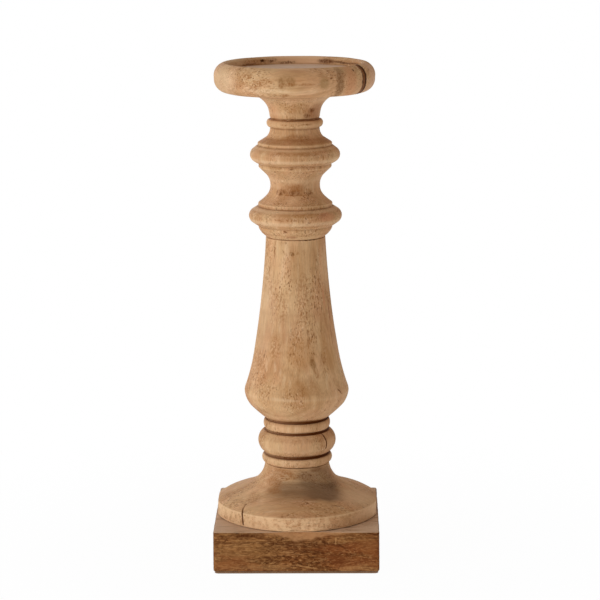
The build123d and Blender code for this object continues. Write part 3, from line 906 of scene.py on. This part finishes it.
# The darkening in the grooves is strongest right of the front, and weakest on the other side.
darkest_side = 0.7
groove_dark_share = 0.65 + 0.35 * np.cos(baluster_azimuth - darkest_side)
baluster_wood, tree, surface, place, colour, height = wood(
    "baluster_wood", "Z", light_tones, heart=(0.03, 0.07, 0), rings=(4.5, 12, 16), figure=0.2, crowd=0.43
)
colour = rings_and_shade(tree, colour, stain_tone, pale_tone, 0.4)
colour = masked(tree, colour, "worn", worn_tone, 0.5)
seam_tone = tint(140, 84, 54)
flame_tone = tint(206, 142, 104)
honey_tone = tint(168, 116, 60)
knot_tone = tint(130, 88, 48)
scuff_tone = tint(134, 90, 46)
bare_torus_tone = tint(210, 166, 124)
right_painted_light_tone = tint(216, 176, 134)
bare_front_tone = tint(216, 180, 144)
bare_left_tone = tint(214, 186, 154)
baluster_marks = (
    (-42, 24.5, 239, 0.8, 3, 8, 0, 0.25, stain_tone, 0.95),
    (-42, 26, 224, 0.7, 3, 9, 0, 0.5, stain_tone, 0.9),
    # Painted highlight on the belly's crest, left of the front.
    (-14, 38, 128.2, 13, 5, 1.7, 3, 0.3, pale_tone, 0.35),
    # Painted shade: soft dark bands just above the knop's grooves, right of the front.
    (14, 29, 108.0, 22, 10, 1.7, 0, 0, dust_and_shade_tone, 0.55),
    (14, 31, 98.9, 22, 10, 1.4, 0, 0, dust_and_shade_tone, 0.5),
    (14, 31, 80.7, 22, 10, 1.6, 0, 0, dust_and_shade_tone, 0.5),
    (20, 33, 94.5, 18, 5, 2.4, 0, 0.3, stain_tone, 0.3),
    (44, 33, 92, 1.0, 4, 4, 25, 0.2, dust_and_shade_tone, 0.75),
    (66, 36, 90, 9, 12, 8, 0, 0, bare_torus_tone, 0.75),
    (54, 24.5, 232, 1.6, 3, 14, 0, 0.2, flame_tone, 0.6),
    (54, 27, 204, 1.6, 3, 16, 0, 0.2, flame_tone, 0.55),
    (64, 23.6, 236, 0.7, 3, 12, 0, 0.3, seam_tone, 0.85),
    (62, 26, 214, 0.8, 3, 13, 0, 0.3, seam_tone, 0.8),
    (66, 28, 193, 0.9, 3, 13, 0, 0.3, seam_tone, 0.8),
    (64, 30, 172, 0.9, 3, 14, 0, 0.3, seam_tone, 0.65),
    # Painted light: a pale mark up the right of the taper's top, which the lamp on the left leaves darker.
    (66, 25, 226, 9, 8, 22, 0, 0, right_painted_light_tone, 0.6),
    (4, 24, 228, 9, 5, 22, 0, 0.3, stain_tone, 0.25),
    (-14, 29, 190, 12, 6, 26, 0, 0, bare_front_tone, 0.12),
    (8, 33, 162, 15, 9, 15, 0, 0, honey_tone, 0.45),
    (50, 33, 160, 10, 11, 16, 0, 0, honey_tone, 0.4),
    (2, 24, 230, 9, 7, 20, 0, 0, honey_tone, 0.18),
    (8, 37, 136, 18, 9, 8, 0, 0, honey_tone, 0.25),
    (28, 22.9, 246.7, 9, 4, 0.55, 0, 0, dust_and_shade_tone, 0.9),
    (-6, 23.6, 236.6, 2.4, 2, 1.7, 0, 0.5, knot_tone, 0.9),
    (5, 23.8, 237.0, 2.2, 2, 1.7, 0, 0.6, stain_tone, 0.55),
    (17, 24, 238, 1.5, 2, 3.0, 0, 0.5, stain_tone, 0.35),
    (3, 26, 218, 0.7, 2, 2.4, 10, 0.2, stain_tone, 0.85),
    (18.5, 31, 170, 1.3, 4, 5, 0, 0.3, stain_tone, 0.55),
    (15, 39, 139, 14, 6, 9, 0, 0.5, stain_tone, 0.3),
    (23, 34, 154.5, 2.8, 5, 7, -12, 0.4, scuff_tone, 0.8),
    (27, 35.5, 146.5, 3.2, 5, 5, -20, 0.6, stain_tone, 0.55),
    (38, 34.5, 157, 3.2, 5, 6.5, 0, 0.6, stain_tone, 0.4),
    (8, 24.5, 71.4, 7, 3, 0.8, 0, 0.4, dust_and_shade_tone, 0.4),
    (57, 39.5, 131, 0.8, 3, 4, -42, 0.2, dust_and_shade_tone, 0.85),
    (12, 27, 207, 7, 4, 26, 0, 0.9, stain_tone, 0.42),
    (-22, 28, 200, 8, 4, 20, 0, 0.9, stain_tone, 0.42),
    (-54, 29, 190, 12, 12, 44, 0, 0, bare_left_tone, 0.18),
    (-30, 32, 168, 7, 4, 14, 0, 0.9, stain_tone, 0.5),
)
colour = marks(tree, place, colour, baluster_marks)
colour = masked(tree, colour, "wax", wax_tone, 0.97)
coat(tree, surface, colour, tooled(tree, place, height), 0.2 * mm)
baluster_wax = np.clip(baluster_rows["wax"] * groove_dark_share + 2 * torus_crack, 0, 1)
turned(
    "baluster_turning",
    baluster_rows,
    baluster_points,
    baluster_wood,
    "spindle_wood",
    "baluster",
    wax=baluster_wax,
)


# Column dowel. A bare hardwood pin like the foot's, glued up into the column and down into the baluster.
# It keeps its CAD shape and is sealed inside.
dress("column_dowel", dowel_wood)


# Column. One turning from the collar up to the flare under the cup: two nosed knops with a hollow between
# them, a bead and a neck. It stands on the baluster, where a thin dark joint line shows.
column_top = level_range("column")[1]
flare_radius = 30.5
thin_pin_hole = 8.1
collar_hole_top = 272.6
neck_hole_bottom = 335.9
column_path = (
    (0, collar_hole_top, 0),
    (pin_hole, collar_hole_top, 0),
    (pin_hole, baluster_top, 0),
    (baluster_top_radius, baluster_top, 0),
    (baluster_top_radius, 247.5, 0),
    (27.9, 253.6, 0.076),
    (28.2, 255.1, 0),
    (33.0, 258.4, 0),
    (33.0, 267.4, 2.2 / 9.0),
    (28.2, 270.5, 0),
    (28.1, 272.7, 0),
    (22.2, 277.6, -0.03),
    (18.75, 285.9, -0.105),
    (22.1, 294.6, -0.105),
    (27.6, 299.8, 0),
    (27.6, 302.0, 0),
    (31.8, 304.6, 0),
    (31.8, 313.6, 2.2 / 9.0),
    (28.1, 316.5, 0),
    (28.1, 318.2, 0),
    (21.4, 322.5, 0),
    (18.8, 329.5, -0.105),
    (18.8, 336.5, 2.5 / 7.0),
    (20.2, 344.7, -0.04),
    (flare_radius, column_top, -0.11),
    (thin_pin_hole, column_top, 0),
    (thin_pin_hole, neck_hole_bottom, 0),
    (0, neck_hole_bottom, 0),
)
column_grooves = (
    (baluster_top, 0.4, 0.35, 0.4),
    (255.3, 0.15, 0.6, 0.15),
    (270.4, 0.2, 0.5, 0.4),
    (302.4, 0.15, 0.6, 0.2),
    (316.4, 0.2, 0.5, 0.4),
    (329.4, 0.2, 0.7, 0.1),
    (336.6, 0.7, 0.6, 0.8),
    (column_top, 0.3, 0.35, 0.4),
)
# Bands of painted shade and painted highlight in the lathe rings, over the ovolo, the two knops, the hollow
# between them, the bead and the neck.
column_shade_bands = (
    (250.5, 1.0, 0.25),
    (260.2, 1.6, -0.35),
    (263.5, 1.2, 0.2),
    (268.8, 1.0, -0.3),
    (290, 5.0, -0.25),
    (306.2, 1.6, -0.35),
    (309.5, 1.2, 0.2),
    (314.8, 1.0, -0.3),
    (321, 2.4, 0.35),
    (342, 3.0, -0.2),
)
column_rows = profile(column_path, (3, 24), column_grooves, column_shade_bands, 288, 34)
column_azimuth = azimuth_lines(330)
column_relief = sanded(column_rows, column_azimuth, 0.08, 0.05, 31, 30, (9, 0.2))
column_points = spun(column_rows, column_azimuth, column_relief)
column_wood, tree, surface, place, colour, height = wood(
    "column_wood", "Z", light_tones, heart=(-0.02, 0.07, 0), rings=(4.5, 10, 16), figure=0.18, crowd=0.42
)
colour = rings_and_shade(tree, colour, stain_tone, pale_tone, 0.4)
colour = masked(tree, colour, "worn", worn_tone, 0.6)
red_earth = tint(150, 96, 62)
thin_wax_tone = tint(112, 66, 28)
column_marks = (
    (4, 20, 346, 13, 7, 8, 0, 0, honey_tone, 0.25),
    (4, 32, 267, 22, 12, 2.2, 0, 0, honey_tone, 0.4),
    (4, 31, 313, 20, 12, 2.0, 0, 0, honey_tone, 0.2),
    (10, 20, 345, 8, 4, 6, 0, 0.4, stain_tone, 0.2),
    (6, 18, 336.8, 9, 4, 0.9, 0, 0.2, dust_and_shade_tone, 0.45),
    (54, 20, 342, 9, 9, 9, 0, 0.2, red_earth, 0.6),
    (35, 20, 342, 6, 5, 4.4, 0, 0.5, stain_tone, 0.5),
    (29.5, 20, 339.6, 3.2, 5, 2.4, 0, 0.5, dust_and_shade_tone, 0.8),
    (41, 20.5, 343.8, 3.4, 5, 1.7, 0, 0.5, dust_and_shade_tone, 0.75),
    (24, 21.5, 333.4, 6, 4, 0.9, 0, 0.5, stain_tone, 0.7),
    (-2, 21, 333, 12, 4, 1.2, 0, 0.8, stain_tone, 0.7),
    (4, 20, 323, 12, 6, 4, 0, 0.35, stain_tone, 0.55),
    (-20, 30, 312, 12, 5, 2.4, 0, 0.8, stain_tone, 0.5),
    (12, 30, 312, 12, 5, 2.0, 0, 0.5, stain_tone, 0.45),
    (-4, 28, 301, 1.6, 3, 1.0, 0, 0.2, dust_and_shade_tone, 0.7),
    (8, 28, 303.5, 10, 3, 0.8, 0, 0.5, dust_and_shade_tone, 0.7),
    (-6, 20, 284, 15, 7, 5.5, 0, 0.35, stain_tone, 0.5),
    (-34, 20, 282.5, 5, 5, 3.0, 0, 0.75, dust_and_shade_tone, 0.8),
    (0, 20, 280.4, 18, 7, 0.4, 0, 0.3, stain_tone, 0.6),
    (-2, 20, 282, 6, 5, 2.4, 0, 0.6, dust_and_shade_tone, 0.6),
    (4, 20, 286, 6, 5, 3.5, 0, 0.35, stain_tone, 0.65),
    (34, 20, 282, 4.0, 5, 2.0, 0, 0.8, dust_and_shade_tone, 0.6),
    (-10, 34, 264, 14, 4, 1.5, 0, 0.9, stain_tone, 0.6),
    (44, 34, 265, 10, 8, 4, 0, 0.2, flame_tone, 0.5),
    (38, 34, 266.5, 4.0, 3, 1.2, 0, 0.3, seam_tone, 0.35),
    (-15, 28, 254, 1.8, 3, 0.9, 20, 0.2, dust_and_shade_tone, 0.8),
    (-6, 24.5, 249.5, 4.5, 3, 1.3, 0, 0.3, seam_tone, 0.7),
)
colour = marks(tree, place, colour, column_marks)
colour = masked(tree, colour, "wax", thin_wax_tone, 0.75, cloud(tree, place, (200, 200, 200)))
coat(tree, surface, colour, tooled(tree, place, height), 0.2 * mm)
turned("column_turning", column_rows, column_points, column_wood, "spindle_wood", "column")


# Cup dowel. A bare hardwood pin, 16 mm thick, glued up into the cup and down into the column.
# It keeps its CAD shape and is sealed inside.
dress("cup_dowel", dowel_wood)


# Cup. A thick plate turned from light mango wood, its grain across, with a rolled rim round a shallow seat.
# It is glued on the column's flare. Dark heart wood runs over the right side of its rim.
seat_radius = 49.6
seat_level = 372.4
cup_hole_top = 371.5
cup_path = (
    (0, cup_hole_top, 0),
    (thin_pin_hole, cup_hole_top, 0),
    (thin_pin_hole, column_top, 0),
    (flare_radius, column_top, 0),
    (53.0, 356.5, 0),
    (60.3, 366.7, 0.18),
    (53.0, 378.3, 0.2),
    (50.0, 376.7, 0.12),
    (seat_radius, seat_level, 0),
    (0, seat_level, 0),
)
cup_rows = profile(cup_path, (3, 9), ((column_top, 0.3, 0.35, 0.4),), (), 250, 44)
cup_azimuth = azimuth_lines(380)
cup_relief = sanded(cup_rows, cup_azimuth, 0.1, 0.06, 41, 30, (11, 0.16)) * smooth(cup_rows["radius"], 2, 12)
cup_points = spun(cup_rows, cup_azimuth, cup_relief)
cup_wood, tree, surface, place, colour, height = wood(
    "cup_wood", "X", light_tones, heart=(0, 0.03, 0.30), rings=(4.5, 12, 16), figure=0.25, crowd=0.42
)
colour = rings_and_shade(tree, colour, stain_tone, pale_tone, 0.25)
colour = masked(tree, colour, "worn", worn_tone, 0.3)
heart_tone = tint(62, 28, 0)
ember_tone = tint(112, 60, 18)
umber_tone = tint(84, 42, 10)
grey_tone = tint(138, 100, 66)
green_tone = tint(152, 120, 76)
olive_tone = tint(130, 90, 46)
red_tone = tint(206, 146, 104)
seat_sheen_tone = tint(214, 184, 160)
left_end_tone = tint(216, 184, 148)
right_end_tone = tint(214, 172, 140)
back_tone = tint(226, 184, 144)
back_left_painted_light_tone = tint(224, 190, 152)
front_left_tone = tint(216, 188, 154)
# Painted sheen: the seat is painted paler and greyer, as the light glances off it.
colour = masked(tree, colour, "seat", seat_sheen_tone, 0.85, cloud(tree, place, (40, 420, 420), 4.0))
cup_marks = (
    (-62, 58, 366, 16, 14, 13, 0, 0, left_end_tone, 0.35),
    (45, 58, 367, 7.0, 14, 20, 0, 0.15, red_tone, 0.7),
    (22, 60, 367.2, 4.8, 6, 4.8, 0, 0.2, green_tone, 0.65),
    (34.5, 58, 366, 4.0, 14, 16, 0, 0.35, grey_tone, 0.85),
    (76, 57, 367, 9.0, 14, 30, 0, 0.1, right_end_tone, 0.7),
    (180, 50, 375.5, 60, 7, 6, 0, 0, back_tone, 0.75),
    # Painted light on the inner wall at the back left, where the lamp on the left falls.
    (-110, 50, 375.8, 24, 7, 4, 0, 0, back_left_painted_light_tone, 0.6),
    (59.4, 57, 367, 3.1, 13, 30, 0, 0.1, ember_tone, 0.95),
    (57.2, 57, 366, 1.2, 13, 12, 0, 0.3, heart_tone, 0.75),
    (61.2, 57, 367, 1.7, 13, 30, 0, 0, heart_tone, 0.97),
    (49, 58, 375.5, 1.0, 3, 0.9, 0, 0, heart_tone, 0.9),
    (-43, 60, 368, 6, 8, 7, 0, 0.85, stain_tone, 0.35),
    (-50, 60, 367, 9, 10, 9, 0, 0, front_left_tone, 0.15),
    (-34.5, 60, 372, 4.5, 8, 2.5, 0, 0.7, stain_tone, 0.6),
    (-27, 60, 366, 6, 8, 3.5, 0, 0.9, stain_tone, 0.5),
    (-20, 60, 368.8, 8, 8, 2.2, 0, 0.7, stain_tone, 0.7),
    (-5.5, 60, 369, 8, 8, 5.5, 0, 0.5, olive_tone, 0.45),
    (-8.0, 60, 368, 3.2, 8, 5.5, 0, 0.5, olive_tone, 0.4),
    (-8.6, 60, 366.0, 2.8, 6, 2.0, 0, 0.3, stain_tone, 0.4),
    (-1.0, 60, 368.5, 3.6, 8, 4.5, 0, 0.5, olive_tone, 0.4),
    (-0.6, 60, 367.4, 4.2, 6, 1.7, 0, 0.3, stain_tone, 0.45),
    (-4.0, 60, 367, 9, 6, 1.6, 0, 0.5, stain_tone, 0.3),
    (9, 60, 367, 8, 8, 1.2, 0, 0.4, stain_tone, 0.5),
    (-6, 57, 359, 4, 5, 1.5, 0, 0.6, stain_tone, 0.55),
    (-20, 59, 362, 26, 6, 2.5, 0, 0.8, pale_tone, 0.6),
    (152, 49.8, 374.8, 8, 3, 2.2, 0, 0.4, umber_tone, 0.85),
    (134, 49.8, 374.4, 16, 3, 1.1, -2, 0.2, umber_tone, 0.75),
    (114, 49.8, 374.6, 12, 3, 0.9, 0, 0.2, umber_tone, 0.6),
    (-149.5, 49.8, 375.2, 1.8, 3, 1.3, 0, 0, heart_tone, 0.95),
    (-157, 49.8, 375.6, 6, 3, 2.4, 0, 0.8, umber_tone, 0.8),
    (-172, 49.8, 373.6, 9, 3, 1.2, 0, 0.6, umber_tone, 0.75),
    (-135, 49.8, 373.2, 10, 3, 1.0, 0, 0.2, umber_tone, 0.6),
)
colour = marks(tree, place, colour, cup_marks)
colour = masked(tree, colour, "wax", ember_tone, 0.7, cloud(tree, place, (300, 300, 300)))
coat(tree, surface, colour, height, 0.2 * mm)
# Mask of the seat, for its painted sheen.
seat_sheen = smooth(cup_rows["radius"], seat_radius, seat_radius - 0.8) * (cup_rows["height"] > seat_level - 2)
turned("cup_plate", cup_rows, cup_points, cup_wood, "cup_wood", "cup", seat=seat_sheen)
